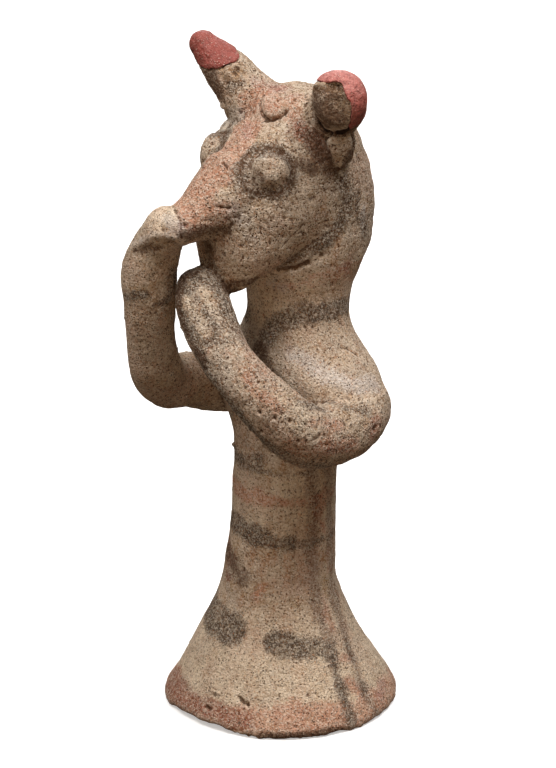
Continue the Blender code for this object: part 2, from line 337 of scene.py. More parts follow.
def mesh_object(name, places, triangles, merged=0):
    """A mesh of places, given in steps, with its faces turned outwards. Where a distance is given, points
    that lie within it of each other are merged."""
    mesh = bpy.data.meshes.new(name)
    mesh.from_pydata((places * STEP).tolist(), [], triangles.tolist())
    shape = bmesh.new()
    shape.from_mesh(mesh)
    if merged:
        bmesh.ops.remove_doubles(shape, verts=shape.verts, dist=merged * STEP)
    bmesh.ops.recalc_face_normals(shape, faces=shape.faces)
    shape.to_mesh(mesh)
    shape.free()
    made = bpy.data.objects.new(name, mesh)
    bpy.context.scene.collection.objects.link(made)
    return made


def rough_block(place, outwards, along, size=26, count=72, roughness=0.45):
    """A box on a grid of squared-off rings: its near face lies at the place and it reaches outwards, and
    from there along where that is given. Noise moves each point, so the faces are as a break is."""
    outwards = np.array(outwards) / np.linalg.norm(outwards)
    towards = np.array(along if along else np.roll(outwards, 1) - outwards)
    sideways = np.cross(outwards, towards)
    sideways /= np.linalg.norm(sideways)
    forward = np.cross(sideways, outwards)
    share = np.linspace(-1, 1, count)
    a, b = np.meshgrid(share, share, indexing="ij")
    flat = np.full_like(a, 1)
    faces = [(a, b, flat), (b, a, -flat), (flat, a, b), (-flat, b, a), (b, flat, a), (a, -flat, b)]
    index = np.arange(count * count).reshape(count, count)
    near, far = index[:-1, :-1], index[1:, 1:]
    square = np.stack((near, index[1:, :-1], far, near, far, index[:-1, 1:]), -1).reshape(-1, 3)
    grid = np.concatenate([np.stack(face, -1).reshape(-1, 3) for face in faces])
    triangles = np.concatenate([square + at * count * count for at in range(6)])
    grid = grid * size / 2 + (size / 2 if along else 0, 0, size / 2)
    places = np.array(place) + grid @ np.stack((forward, sideways, outwards))
    rough = [noise(places, 2.1, seed) + 0.5 * noise(places, 0.8, seed + 3) for seed in (1, 2, 3)]
    return mesh_object("block", places + roughness * np.stack(rough, -1), triangles, merged=0.01)


def applied(made):
    """The object with its modifiers worked into its mesh."""
    bpy.context.view_layer.update()
    graph = bpy.context.evaluated_depsgraph_get()
    mesh = bpy.data.meshes.new_from_object(made.evaluated_get(graph))
    made.modifiers.clear()
    made.data = mesh
    return made


def cut(made, block, operation):
    """The object less the block, or what the two share, by the operation's name."""
    change = made.modifiers.new("cut", "BOOLEAN")
    change.operation = operation
    change.object = block
    return applied(made)


def thicker(rows, proud):
    """A coil's rows with every radius larger by proud."""
    return [(x, y, z, radius + proud) for x, y, z, radius in rows]


stumps, fills = [], []
for horn, seam, front in ((LEFT_HORN, LEFT_SEAM, LEFT_FRONT), (RIGHT_HORN, RIGHT_SEAM, None)):
    block = rough_block(*seam)
    stumps.append(cut(mesh_object("stump", *coil(horn)), block, "DIFFERENCE"))
    fills.append(cut(mesh_object("fill", *coil(thicker(horn, FILL_PROUD))), block, "INTERSECT"))
    bpy.data.objects.remove(block)
    if front:
        block = rough_block(*front, roughness=0.25)
        corner = rough_block(*LEFT_CORNER, roughness=0.3)
        cut(block, corner, "DIFFERENCE")
        bpy.data.objects.remove(corner)
        stumps.append(cut(mesh_object("stump", *coil(horn)), block, "INTERSECT"))
        cut(fills[-1], block, "DIFFERENCE")
        bpy.data.objects.remove(block)

# The fused figure. All of the clay was luted together wet and wiped with a finger, so the pieces are
# filled as one volume and then smoothed, less at the sharp edges of the breaks.

CLAY_GRAIN = 0.34


def read_points(mesh, name="co"):
    """Every point's place, in metres, or its normal, one row each."""
    values = np.empty(len(mesh.vertices) * 3, np.float32)
    if name == "normal":
        mesh.vertex_normals.foreach_get("vector", values)
    else:
        mesh.vertices.foreach_get(name, values)
    return values.reshape(-1, 3).astype(float)


def write_points(mesh, places):
    """Moves every point to its place, given in steps."""
    mesh.vertices.foreach_set("co", (places * STEP).astype(np.float32).ravel())
    mesh.update()


def refilled(made, grain):
    """The object filled as one volume of cubes of the given grain, in steps."""
    volume = made.modifiers.new("volume", "REMESH")
    volume.mode = "VOXEL"
    volume.voxel_size = grain * STEP
    volume.use_smooth_shade = True
    return applied(made)


def wiped(mesh, places, share, times):
    """Each pass moves every point by its share of the way to the mean of its neighbours."""
    pairs = np.empty(len(mesh.edges) * 2, np.int32)
    mesh.edges.foreach_get("vertices", pairs)
    ends = np.concatenate((pairs[::2], pairs[1::2]))
    others = np.concatenate((pairs[1::2], pairs[::2]))
    neighbours = np.bincount(ends, minlength=len(places))
    for _ in range(times):
        total = [np.bincount(ends, places[others, axis], len(places)) for axis in range(3)]
        places = places + share[:, None] * (np.stack(total, -1) / neighbours[:, None] - places)
    return places


counts = np.cumsum([0] + [len(places) for places, triangles in clay])
figure = mesh_object(
    "clay_figure",
    np.concatenate([places for places, triangles in clay]),
    np.concatenate([triangles + start for (places, triangles), start in zip(clay, counts)]),
)
whole = bmesh.new()
for part in (figure, *stumps):
    whole.from_mesh(part.data)
whole.to_mesh(figure.data)
whole.free()
for stump in stumps:
    bpy.data.objects.remove(stump)
refilled(figure, CLAY_GRAIN)
places = read_points(figure.data) / STEP
horn_ends = [np.linalg.norm(places - horn[-1][:3], axis=1) for horn in (LEFT_HORN, RIGHT_HORN)]
ear_off = np.linalg.norm(places - (15, 3.4, 113.2), axis=1)
keen = np.clip((np.minimum.reduce((*horn_ends, ear_off)) - 4) / 4, 0.3, 1)
places = wiped(figure.data, places, 0.5 * keen, 12)
# The left horn's end: a rough ledge that faces up, a flat face below it, and a straight side
FACES = [
    ((18, -2.95, 125.5), (0.525, -0.41, 0.75)),
    ((18.8, -1.4, 126), (0.78, -0.61, -0.14)),
    ((12.8, -2.8, 123.5), (-0.62, -0.78, 0)),
]
for corner, out in FACES:
    beyond = np.maximum(0, (places - corner) @ out) * (horn_ends[0] < 7.5)
    places = places - beyond[:, None] * out
write_points(figure.data, places)

# The relief. Coarse temper leaves grit, pits and burst grains all over, most on the mask and the arms.
# Creases stay where one piece was luted on another, and there are cracks and knocks.

LOOSE_GRAINS = 700
KNOB_EDGE = [
    (-1.9, -3.9, 121), (-1, -4.9, 119.9), (0.4, -5.5, 118.9), (2.3, -5.3, 118.4), (3.9, -4.1, 118.9),
    (4.6, -2.8, 120),
]
# Points on each crease, its half width and its depth, in steps; a depth below zero is a raised lip
CREASES = [
    (KNOB_EDGE, 0.8, 1.3),
    # round the left ear and under the left horn
    ([(12.4, 1.1, 116.2), (12.7, 1.3, 114.4), (12.7, 1.8, 112.4), (13.2, 2.8, 110.4), (13.6, 4, 109.2)],
     0.7, 1),
    ([(16, 4.2, 117.6), (15.8, 4.8, 115.2), (15.4, 4.8, 112.8), (14.4, 4.6, 110.6), (13.6, 4, 109.2)],
     0.7, 0.9),
    ([(12.2, -2.4, 121.6), (12.2, -1.2, 119.8), (12.1, 0.4, 118.3), (12.9, 1.5, 117.3), (14.4, 2.1, 117.9),
      (15.4, 3, 118.5), (16.2, 3.8, 119)], 1.6, 2.4),
    # the pit on the bridge of the nose and the nostril
    ([(1.7, -15.2, 111.5), (3, -15.3, 110.8)], 0.5, 0.9),
    ([(4.9, -19.5, 104.8), (5.5, -18.4, 104.3), (6.1, -17.1, 104.1)], 0.45, 0.5),
    # the mask's rear edge, open only under the jaw, and a knife line across the cheek
    ([(6, -6, 89.9), (7.8, -3.7, 90.3), (9, -2.5, 91), (9.8, -1.4, 91.5)], 0.75, 1),
    ([(10.1, -1.1, 91.6), (11.4, 2.2, 93.2), (12.2, 4.8, 96.5)], 0.9, 0.18),
    ([(-7.8, -3.7, 90.3), (-10.1, -1.1, 91.6), (-12.2, 4.8, 96.5), (-12.5, 5.6, 106)], 0.8, 0.3),
    ([(11.9, -4.3, 100), (11.4, -5.8, 98.4), (10.6, -8, 96)], 0.25, 0.22),
    # where the left hand is luted to the right forearm, and the right hand to the muzzle
    ([(-3.8, -22.3, 88.4), (-2, -24.2, 86.6), (-1.6, -25.2, 84.6), (-0.6, -25.2, 82.6)], 0.5, 0.7),
    ([(-4.2, -25.7, 85.8), (-3, -25.4, 86), (-2, -24.9, 86.2)], 0.35, 0.5),
    ([(-4.4, -25.6, 84), (-3.2, -25.4, 83.8), (-1.9, -25.1, 84)], 0.35, 0.5),
    ([(-2.6, -24, 105), (-0.4, -25.2, 104.1), (1.2, -25.7, 103.6), (2.3, -25.9, 102.7),
      (2.9, -25.9, 101.5), (2.7, -25.8, 99)], 0.6, 0.4),
    ([(0.9, -26.6, 97.6), (-1.2, -27.4, 96.9), (-3.6, -28.3, 96.2), (-6.9, -28.7, 94.6)], 1.4, 0.2),
    ([(1.5, -26.8, 99.1), (-1.2, -28.2, 99.3), (-2.9, -28.8, 98.4), (-5.9, -28.7, 96.9),
      (-9, -28.6, 95.1)], 1.2, -0.3),
    # where the left arm is luted along the chest and the shoulder, with a lip of clay pushed up beside it
    ([(18.6, -5.5, 67.4), (18.8, -1.8, 67), (19.8, 0, 66.8), (21.2, 2.1, 66.2), (22.2, 4.7, 65.4)],
     0.9, 0.1),
    ([(17.6, -20.4, 78), (19.6, -20, 76.1), (20.9, -18.7, 74.5), (22, -16.5, 72.7), (22.2, -13.8, 71.3),
      (21.6, -9, 69.2)], 0.5, -0.35),
    # the slit knocks on the shoulder
    ([(12.8, 4.3, 74.4), (13.2, 5.8, 74)], 0.4, 0.6),
    ([(13.6, 6.5, 73.5), (14.2, 7.2, 72.7)], 0.45, 0.6),
    ([(9.9, 5.4, 79.2), (9.8, 7, 77.9)], 0.35, 0.5),
    # the pits and slots near the rim, and hair cracks in the stem
    ([(9.1, -17.6, 7), (10.2, -17.5, 6.1), (11, -17.1, 6)], 0.6, 0.9),
    ([(3.4, -21.4, 4.1), (4.4, -21.2, 3.8)], 0.7, 0.9),
    ([(2.6, -19.8, 6.9), (5.8, -19.3, 6.7)], 0.4, -0.45),
    ([(1.2, -10.4, 33.8), (2, -10.4, 32)], 0.22, 0.3), ([(4.6, -9.6, 30.8), (5.4, -9.2, 29.4)], 0.22, 0.3),
]
# Place, radius and depth of single pits, and of lumps, whose depth is below zero
PITS = [
    ((1.6, -10.8, 29.5), 0.7, 0.8), ((21.1, -21.8, 69.2), 0.7, 0.8), ((23, -19.6, 68.2), 0.6, 0.6),
    ((24.2, -17, 67.4), 0.7, 0.7), ((24.8, -15.6, 63.3), 0.6, 0.6),
    ((17.8, -7.5, 7.6), 0.6, 0.5), ((8.6, -1.2, 78.6), 0.5, 0.4), ((9.3, 0.2, 78.5), 0.4, 0.4),
    ((24.2, 3.4, 61.6), 1, 0.5), ((3.2, -25.2, 101.6), 0.8, 0.6),
    ((-5.9, -7.6, 52.3), 0.9, -0.9), ((-10.3, -6.2, 118.6), 1.1, -0.7),
    # the lumpy top of the left eye
    ((11.6, -11.4, 109.6), 0.9, -0.3), ((9, -13.3, 109.4), 0.7, 0.3),
]


def away_from(places, route):
    """The distance of each place from the nearest point of a line through the route's points."""
    least = np.full(len(places), np.inf)
    for start, end in zip(np.array(route, float), np.array(route[1:], float)):
        along = end - start
        share = np.clip((places - start) @ along / (along @ along), 0, 1)
        least = np.minimum(least, np.linalg.norm(places - start - share[:, None] * along, axis=1))
    return least


def bowl(distance, width):
    """1 at no distance, falling smoothly to 0 at the width: (1 - (distance / width)^2)^2."""
    return np.maximum(0, 1 - (distance / width) ** 2) ** 2


def coarseness(places):
    """How gritty the clay is, about 0.5 to 1.4: most on the cheeks, head and left arm, least on the wiped
    stem, foot and nose, and on the broken end of the left horn."""
    y, z = places.T[1:]
    left_arm = (away_from(places, [row[:3] for row in LEFT_ARM]) < 7) & ((z < 66.4) | (y < -5))
    right_arm = away_from(places, [row[:3] for row in RIGHT_ARM]) < 6.4
    heights, amounts = (0, 6, 20, 52, 60, 82, 92, 98), (0.9, 0.65, 0.6, 0.7, 0.8, 0.8, 1, 1.4)
    by_height = np.interp(z, heights, amounts)
    coarse = np.where(left_arm, 1.4, np.where(right_arm, 0.95, by_height))
    coarse -= 0.4 * bowl(away_from(places, [(0, -2, 122), (1, -11.4, 114), (0, -26, 103)]), 9)
    return coarse * (1 - 0.7 * bowl(away_from(places, [(18.4, -2.6, 122.4), (17.2, -1.8, 119.6)]), 5))


def relief(places):
    """How far each place sinks (-) or rises (+), in steps: slow dents, grit, pores where a fine noise is
    high, random pits and grains, then the creases and the single pits, each a bowl round its line."""
    coarse = coarseness(places)
    height = 0.18 * noise(places, 8, 11) + 0.15 * noise(places, 3.4, 12) * (0.4 + 0.6 * coarse)
    height += coarse * (0.05 * noise(places, 1.7, 13) + 0.05 * noise(places, 1, 14))
    height -= coarse * 0.22 * np.maximum(0, noise(places, 0.9, 15) - 0.1)
    for eye in (LEFT_EYE, RIGHT_EYE):
        height += 0.45 * noise(places, 2, 19) * bowl(np.linalg.norm(places - eye, axis=1), 6)
    draw = np.random.default_rng(21)
    chosen = draw.choice(len(places), LOOSE_GRAINS, replace=False)
    sizes = draw.uniform(0.35, 0.7, len(chosen))
    depths = draw.uniform(0.08, 0.3, len(chosen)) * np.where(draw.random(len(chosen)) < 0.5, -0.7, 1)
    for place, size, depth, strength in zip(places[chosen], sizes, depths, coarse[chosen]):
        near = np.flatnonzero(np.abs(places - place).max(1) < size)
        off = np.linalg.norm(places[near] - place, axis=1)
        height[near] -= depth * (0.1 + 0.9 * strength) * bowl(off, size)
    wobble = 0.28 * noise(places, 0.9, 15)
    for route, width, depth in CREASES:
        height -= depth * bowl(away_from(places, route) + wobble, width)
    for place, size, depth in PITS:
        height -= depth * bowl(np.linalg.norm(places - place, axis=1) + wobble, size)
    return height


def broken_faces(places):
    """0 to 1 where the clay is broken: on the ledge of the left horn, below the right horn's fill, and at
    the chipped edge of the foot, most at the front."""
    x, y, z = places.T
    left = bowl(away_from(places, [(13.6, -3.2, 126.6), (16.4, -2.6, 127), (19, -1.2, 126.8)]), 2.3)
    right = bowl(away_from(places, [(-9.4, -6.4, 125.8), (-7.6, -5.4, 125), (-7, -4.2, 125.8)]), 2.6)
    front = bowl(np.hypot((x - 12) / 9, (y + 19) / 7), 1) * np.clip(1 - z / 2.6, 0, 1)
    foot = 0.2 * np.clip(1 - z / 2, 0, 1)
    return np.maximum.reduce((left, right, front, foot))


height = relief(places)
broken = broken_faces(places)
height += broken * (0.55 * noise(places, 1.6, 16) + 0.3 * noise(places, 0.8, 17))
height += 0.3 * noise(places * (1, 1, 0.5), 4.2, 18) * np.clip(1 - places[:, 2] / 3, 0, 1)
places = places + height[:, None] * read_points(figure.data, "normal")
# The underside stands flat on the ground
places[:, 2] = np.where(places[:, 2] < 0.3, np.maximum(0, (places[:, 2] - 0.12) * 1.6), places[:, 2])
write_points(figure.data, places)
# How far each place lies in a hollow; the material paints shade with soil into hollows, and a highlight with
# wear onto bumps
hollow = places - wiped(figure.data, places, np.full(len(places), 0.7), 6)
hollow = -(hollow * read_points(figure.data, "normal")).sum(1)

# The paint. Broad bands of matt red, purple-red and black were brushed over the buff clay before firing,
# and most of it is worn. Each field is how far inside the nearest stroke a place is, in steps.


def strokes(places, routes):
    """The greatest of half width - distance over all the strokes, each a route and its half width."""
    return np.maximum.reduce([width - away_from(places, route) for route, width in routes])


def column_route(*turns_and_heights):
    """A route over the column from pairs of direction and height."""
    return [on_column(turn, height) for turn, height in turns_and_heights]


def eye_rings(places, width):
    """A painted ring round each eye, an ellipse seen along the way the eye looks: the half width less the
    way across from the ellipse, which is (distance over its half axes - 1) x their mean."""
    x, y, z = places.T
    x = abs(x)
    across = ((x - 8.15) * 0.62 + (y + 9.75) * 0.79) / 4.9
    up = (z - 110.2) / 4.1
    return np.where(x > 3, width - abs(np.hypot(across, up) - 1) * 4.5, -9)


def level_band(places, height, tilt, width):
    """A band round the column that sinks from the front towards the left side by its tilt."""
    x, y, z = places.T
    middle = height - tilt * x / 10
    return np.where(np.hypot(x, y) < BASE * 1.1, width - abs(z - middle), -9)


FRONT_STRIPE = [
    (10.4, -0.9, 51), (10.2, -0.4, 43.9), (10.3, -0.4, 37.7), (10.4, -0.8, 31.7), (10.7, -0.5, 26.5),
    (11.7, -0.3, 22.6), (13.2, -0.2, 18.8), (14.8, 0, 15.1), (16.9, -0.4, 11.7), (18.8, -0.7, 8.2),
    (21.1, -0.5, 4.7), (22.7, -0.8, 1.8),
]
REAR_STRIPE = [
    (9.8, 3.8, 50), (9.6, 4.1, 42.7), (9.5, 4.4, 36.4), (9.5, 4.7, 30), (9.7, 5.1, 24.8),
    (11.2, 4.9, 21.1), (12.8, 4.9, 17.4), (14.6, 4.9, 13.8), (16.8, 5, 10.2), (19, 5, 6.8),
    (20.7, 5.3, 4.1), (21.8, 6, 1.7),
]
# Thin brown paint: the two stripes that frame the panel down the left side
BROWN = [(FRONT_STRIPE, 1.7), (REAR_STRIPE, 1.6)]
# Bare clay on the elbow and on the back of the left hand
BARE = [
    ([(24.6, -14.4, 66.6), (25.4, -10.4, 64.8)], 1.2),
    ([(4.5, -22.1, 88.7), (6.7, -22.2, 86.9), (9.4, -22.2, 84.8)], 1.1),
    ([(3.1, -24.7, 86.5), (5.6, -24.9, 84.6), (8.6, -25, 82.6)], 1.4),
]
MASK_EDGE = [(7, -6, 91.4), (9, -2.7, 92.8), (11, 0.5, 95), (12.1, 4.4, 98.5)]
MASK_SIDE = [(12.1, 4.4, 98.5), (12.3, 6.4, 103), (13.4, 4.2, 108.6)]
BLACK = [
    # round the left eye
    ([(9.9, -6, 112.9), (11.2, -6.3, 110.3), (11.2, -7.3, 107.6)], 1.4),
    ([(4.6, -11.8, 112.4), (5.3, -14, 110.4), (6.7, -14.2, 108.4)], 1.7),
    ([(6.7, -14.2, 108), (7.9, -13.2, 106.9), (9.9, -10.6, 106.2), (11.2, -6.9, 108)], 1.1),
    # the mask's edge and the head behind it
    (MASK_EDGE, 1.6), ([(-x, y, z) for x, y, z in MASK_EDGE], 1.4),
    (MASK_SIDE, 2.2), ([(-x, y, z) for x, y, z in MASK_SIDE], 1.8),
    ([(10.9, 11.5, 95.6), (11.7, 9.6, 99)], 1.5), ([(11.9, 8.8, 104), (12, 8.4, 101)], 1.2),
    # the necklace, low on the chest at the front
    ([(3.2, -5.8, 76.4), (5, -4.4, 79.2), (8.4, -1, 81.2), (9.7, 5.2, 81.2), (8.5, 8.9, 81),
      (4, 12.8, 81), (-4, 12.8, 81), (-9.6, 6, 81.2), (-8, -1.9, 81.2), (-5.4, -4.6, 78.8)], 2.3),
    # a patch and a crease on the right arm
    ([(-10.4, -29.4, 85.2), (-7, -29.1, 86.1), (-5.4, -28.1, 86.4)], 1.2),
    ([(-4.5, -25.5, 84.4), (-4.3, -23.8, 85.1), (-3.8, -22.5, 86.6)], 0.9),
    # the left hand: its top and the arm's upper edge, between the bare strokes, and its outer edge
    ([(-0.9, -22.5, 89.8), (1.3, -21.4, 90.5), (3.7, -20.6, 89.4), (6.5, -17.9, 86.6), (9.7, -18.2, 83.5),
      (14.6, -19.6, 80.8)], 1.5),
    ([(14.6, -19.8, 80.8), (18.3, -20.3, 78), (20.9, -18.9, 74.3)], 1),
    ([(1, -23.6, 88.6), (3.4, -23.9, 87.8), (5.7, -24, 86), (8.3, -24.1, 84), (11, -24, 82)], 1.1),
    ([(-1.3, -22.7, 89.8), (0.6, -24.8, 86.4), (3.2, -25.8, 83), (6.4, -26, 79.8), (9.2, -25.8, 76.4),
      (9.6, -25.1, 74)], 2.1),
    # the left arm's underside, its inner bend and the shoulder
    ([(9.6, -25.1, 74), (11, -25.2, 73.4), (17, -22.8, 67.2), (21.6, -16.2, 60.2), (23, -8.2, 57)], 1.8),
    ([(22.7, -13.5, 70), (22.2, -10.7, 68.6), (21.2, -7.6, 67)], 1.3),
    ([(18.8, -3, 66.4), (20.9, -2.2, 66), (22.4, -0.5, 65.4), (23, 2.4, 64.6)], 1.2),
    # the fronts of the two bands, and the five dashes round the foot
    (column_route((-120, 51), (-95, 50.8), (-74, 51.4)), 1.8),
    (column_route((-112, 38), (-88, 37.3), (-66, 36.6), (-29, 35.4)), 1.7),
    (column_route((-112, 38), (-88, 37.3), (-72, 36.8)), 2.3),
    (column_route((-126, 19.2), (-102, 18), (-78, 17.9)), 3.5),
    (column_route((-42, 17), (-26, 15.8), (0, 14.2)), 2.5),
    (column_route((64, 18.4), (96, 15.6)), 2.5),
    (column_route((124, 18.4), (158, 15.8)), 2.5),
    (column_route((186, 18.4), (212, 16.4)), 2.5),
    # a spot on the right horn's root
    ([(-7.6, -5.8, 122.9), (-6.2, -5, 124)], 1.3),
]
# The hand is painted black thinly all over
BLACK_HAND = [([(0.4, -21, 88.4), (4.6, -21.6, 85.6), (7.6, -21.4, 82.6)], 5.6)]
RED_MUZZLE = [([(0.6, -11.4, 114), (0.9, -15, 111.4), (0.8, -18.6, 108), (0.6, -22, 105.6),
                (0, -26, 103.6)], 4.4)]
RED_ELBOW = [
    ([(24.6, -12.5, 66.4), (25, -6, 64.6)], 1.5),
    ([(25.8, -11, 61), (25.2, -2, 59.8)], 1.5),
    ([(24, 3.8, 62.4), (24.2, 3, 60.6)], 0.9),
]
RED_ARM = [([(20.2, -12, 62), (17.2, -17.9, 69.5), (11.3, -20.8, 75.6)], 7)]
RED = [
    # the crown, the forehead, the horns' roots and the muzzle's side
    ([(-2, 1, 122.8), (-3.2, -4.9, 119.6)], 2.6), ([(-3, -2, 122), (2, -3.6, 120.6)], 2.4),
    ([(-3.2, -4.9, 119.6), (-1, -7.6, 117), (0.6, -11.4, 114)], 3.5),
    ([(4.1, -0.6, 121.8), (6.4, -3.1, 118.8), (9, -2.8, 116.4), (10.8, -0.7, 115.5)], 2.2),
    ([(-6.4, -0.5, 121.2), (-8.2, -2.4, 118)], 2),
    ([(3.4, -24, 102.2), (4.7, -20.6, 103.4), (5.8, -17.9, 104.2)], 2.1),
    # along the left arm, and thin rings round the neck
    ([(13.6, -23.6, 79.6), (17.3, -23.3, 76.4), (20.5, -21.6, 73), (23.2, -18.6, 69.6)], 1),
    ([(4.6, -6, 86.8), (8.4, -2.2, 87.2), (10.4, 1.4, 87.4), (10.6, 8, 88)], 0.6),
    ([(9.6, -0.4, 88.6), (11.2, 5.6, 89.2), (10.2, 10.6, 89.9), (0, 17, 90.4)], 1),
    # what is left of the side panel, and a streak on the stem
    (column_route((6, 20.6), (9, 17.6)), 1.1), (column_route((8, 12.4), (15, 11.6)), 1.4),
    (column_route((6, 8.4), (11, 6)), 1.4), (column_route((12, 45), (4, 41.4)), 1),
    (column_route((8, 38.4), (14, 36.8)), 0.9), (column_route((20, 32), (22, 28)), 0.7),
    (column_route((9, 24), (8, 20), (10, 12), (9, 3)), 0.2), ([(6.1, -9.4, 27.2), (4.9, -10.7, 24.8)], 0.5),
]
# The darkest of the red: at the rim, down the panel's top, on the elbow, jaw and neck, by the ear
RUST = [
    ([(-12, -19.4, 3.6), (-5.2, -21.3, 3.8), (0.2, -21.6, 3.8), (5.7, -20.9, 3.6), (9.1, -19.9, 3),
      (12.3, -18.6, 2.2)], 2.4),
    ([(-14.6, -18, 3.8), (-10, -20, 3.6), (-5.2, -21.3, 3.2)], 3.2),
    (column_route((-1, 44.6), (0, 41), (-3, 36.4)), 0.8), (column_route((11, 43.8), (4, 41.8)), 0.4),
    (column_route((8, 38.2), (12, 37.2)), 0.4),
    ([(24.6, 3.2, 63), (24.6, 2.6, 60.6)], 0.9), ([(25.6, -9, 60.2), (25.4, -4, 59.4)], 0.6),
    ([(2.6, -26.3, 100.9), (3.9, -23.4, 100.7), (5, -20.4, 101.3), (6.2, -17.6, 101.9)], 1.1),
    ([(10.4, 3.6, 89.4), (11, 7.6, 90)], 0.9),
    ([(7.6, -3, 117.6), (10.8, -0.9, 115.3), (12.2, -0.8, 112.6)], 1.7),
    ([(-9, -6, 126), (-7.2, -5.4, 126.2)], 0.7), (column_route((-116, 33), (-108, 30), (-104, 27)), 1.3),
]
# A purple red on the crown, the forehead and the foot's rim
PURPLE = [
    ([(-5, -2, 124.2), (-3.6, 0, 123.4), (-0.6, 0.8, 122.8)], 1.9),
    ([(2.4, -0.8, 122), (3.6, 0.6, 122.4)], 1), ([(-1.6, -7.4, 117.2), (0.6, -8.8, 115.8)], 1.2),
    ([(17.6, 11.4, 4.6), (19.6, 8.8, 3.6)], 1.6),
]
# A pale crust on the muzzle's end and side, the right hand, shoulder, far temple, left hand and neck
PALE = [
    ([(-0.2, -27, 102.6), (1.5, -26.9, 101.8), (2.5, -26.5, 100.4)], 1.9),
    ([(1.9, -26.8, 99.3), (-1.2, -28.2, 99.4), (-2.9, -28.9, 98.7), (-5.9, -28.9, 97.2), (-8, -28.8, 96)],
     0.9),
    ([(9, -4, 73.8), (11, -3.1, 73), (15.1, -1.5, 70.8), (18.2, 0.9, 69.5)], 2.2),
    ([(19.5, 3, 68.8), (19.2, 7.2, 68.3)], 2.2), ([(-9.6, -6.2, 115.6), (-5.9, -6, 118)], 2.2),
    ([(-12, -8.2, 112.2), (-11.2, -9.4, 110.6)], 1.6), ([(3.6, -5.6, 87.4), (5.2, -5.4, 88.2)], 1.4),
    ([(2.8, -24.6, 86.6), (5.3, -24.9, 84.7), (8.3, -25, 82.6)], 0.7),
    ([(6.2, -16.5, 104), (6.6, -16, 102.6), (7.5, -14.6, 101.3)], 1.7),
    ([(7.8, -14.2, 98.6), (9, -12.4, 97.6)], 0.9),
    ([(3.6, -5.4, 87), (6.2, -4.4, 86.4)], 1.1), ([(11.4, 10.4, 101), (11.2, 10.4, 97)], 1),
]
# Where dirt gathers and where shade is painted in: a route, its half width and how strong the darkening is
DIRT_AND_SHADE = [
    # round the left ear and under the left horn, a painted shadow with dirt
    ([(11, -1.6, 116), (12.4, -0.6, 113.4), (12.6, 1, 110)], 3.8, 0.85),
    ([(13, -2.2, 120.3), (12.2, -0.6, 118.4), (12.4, 1, 116.7), (12.3, 1, 114.6), (12.3, 1.5, 112),
      (13, 2.8, 110)], 1.3, 1),
    ([(12.2, -2, 121), (12.2, -1, 119.6), (12.2, 0.6, 118), (13, 1.6, 116.9), (14.8, 2, 117.6),
      (16.3, 3.7, 118.7)], 1.9, 1.9),
    ([(16.2, 4.6, 117), (15.8, 5.2, 114.4), (14.8, 5, 111)], 1.1, 0.9),
    ([(12.6, -3, 122.6), (12.6, -2, 120.2), (14.8, -1.8, 118.6)], 2.2, 1.2),
    ([(16.4, -3.9, 122.8), (17.6, -1.8, 120.4)], 5.4, 0.85),
    ([(14.4, -3.8, 125.4), (16.7, -2.1, 125.8), (18.2, 0.2, 125.4)], 2.4, 1.12),
    ([(14.8, 4.2, 116.4), (15.2, 3.8, 113), (14.2, 3.6, 110.6)], 1.7, 1),
    ([(16.5, 4.7, 117.6), (16.2, 5.2, 115), (15.4, 5.6, 112.4)], 2.2, 1.25),
    # the right horn's underside and seam, painted shade with dirt
    ([(-12.9, -7.5, 125.4), (-11.6, -7.3, 123.2), (-10.8, -6.7, 121.6)], 3.1, 1.1),
    ([(-15.1, -7.8, 125.6), (-12.1, -6.8, 126), (-9.9, -5.3, 126.4), (-8, -4.4, 126)], 0.7, 1.6),
    # the left eye and the knob, with the shade under them painted
    ([(11.1, -4.7, 111.8), (12.3, -2, 110)], 2.3, 0.8),
    ([(10.4, -12, 108.8), (11.6, -10.4, 108.4)], 1.6, 0.4),
    ([(9, -13, 110.6), (10, -12.6, 109.4)], 1.8, 0.85),
    (KNOB_EDGE[:5], 0.9, 0.9),
    # the left hand, the stem and the chest, with painted shade on the chest below the neck
    ([(6, -24.6, 81.8), (9.4, -23.4, 83), (12, -21, 82.6)], 2.4, 0.5),
    ([(-2.2, -22, 90.4), (0.6, -21, 91.2)], 1.7, 1), (column_route((-112, 31), (-82, 28)), 4.6, 0.75),
    ([(2, -6.6, 73.4), (5, -6.6, 69), (10, -7.6, 66)], 3.6, 0.9),
    ([(-1.1, -22.9, 89.8), (0.8, -25.4, 84.4), (4.4, -26.6, 80.2), (9.4, -26.2, 76.4)], 2.4, 1),
    # under the jaw and the muzzle, painted shade with dirt
    ([(2.6, -17.6, 87.4), (4, -16.6, 88), (6.4, -13.6, 88.9), (7.1, -11.8, 89.2)], 2, 1),
    ([(3.7, -13.9, 86.7), (1, -15.8, 87.6)], 3.4, 0.9), ([(0, -17.8, 96), (2, -17.4, 88)], 3.4, 0.6),
    ([(2.6, -24.8, 99.6), (4.4, -21, 100.2), (5.4, -17.2, 99.4)], 2.6, 0.7),
    # the right hand, and painted shade down the right arm
    ([(-7.6, -28.7, 94.6), (-3.6, -28.3, 96), (-1.2, -27.3, 96.8)], 1.9, 0.5),
    ([(-4.6, -26.4, 84.4), (-3.6, -24, 85), (-2.4, -23.4, 87)], 1.6, 0.9),
    ([(-11.6, -23.4, 74), (-9.9, -24.6, 83), (-9.2, -25, 92)], 7.5, 0.45),
    ([(-15, -10, 61), (-12.8, -20.8, 68.4)], 7.5, 0.45),
    # painted shade below the left arm, and darker along the foot's edge
    ([(9.5, -1.4, 62), (7, -8, 55), (0, -10, 55)], 5, 0.4),
    ([(15.4, -16.9, 0.4), (18.4, -13.6, 0.7), (20.5, -10.4, 0.7), (21.6, -7.6, 0.7), (22.2, -3.1, 0.7)],
     2, 1),
]
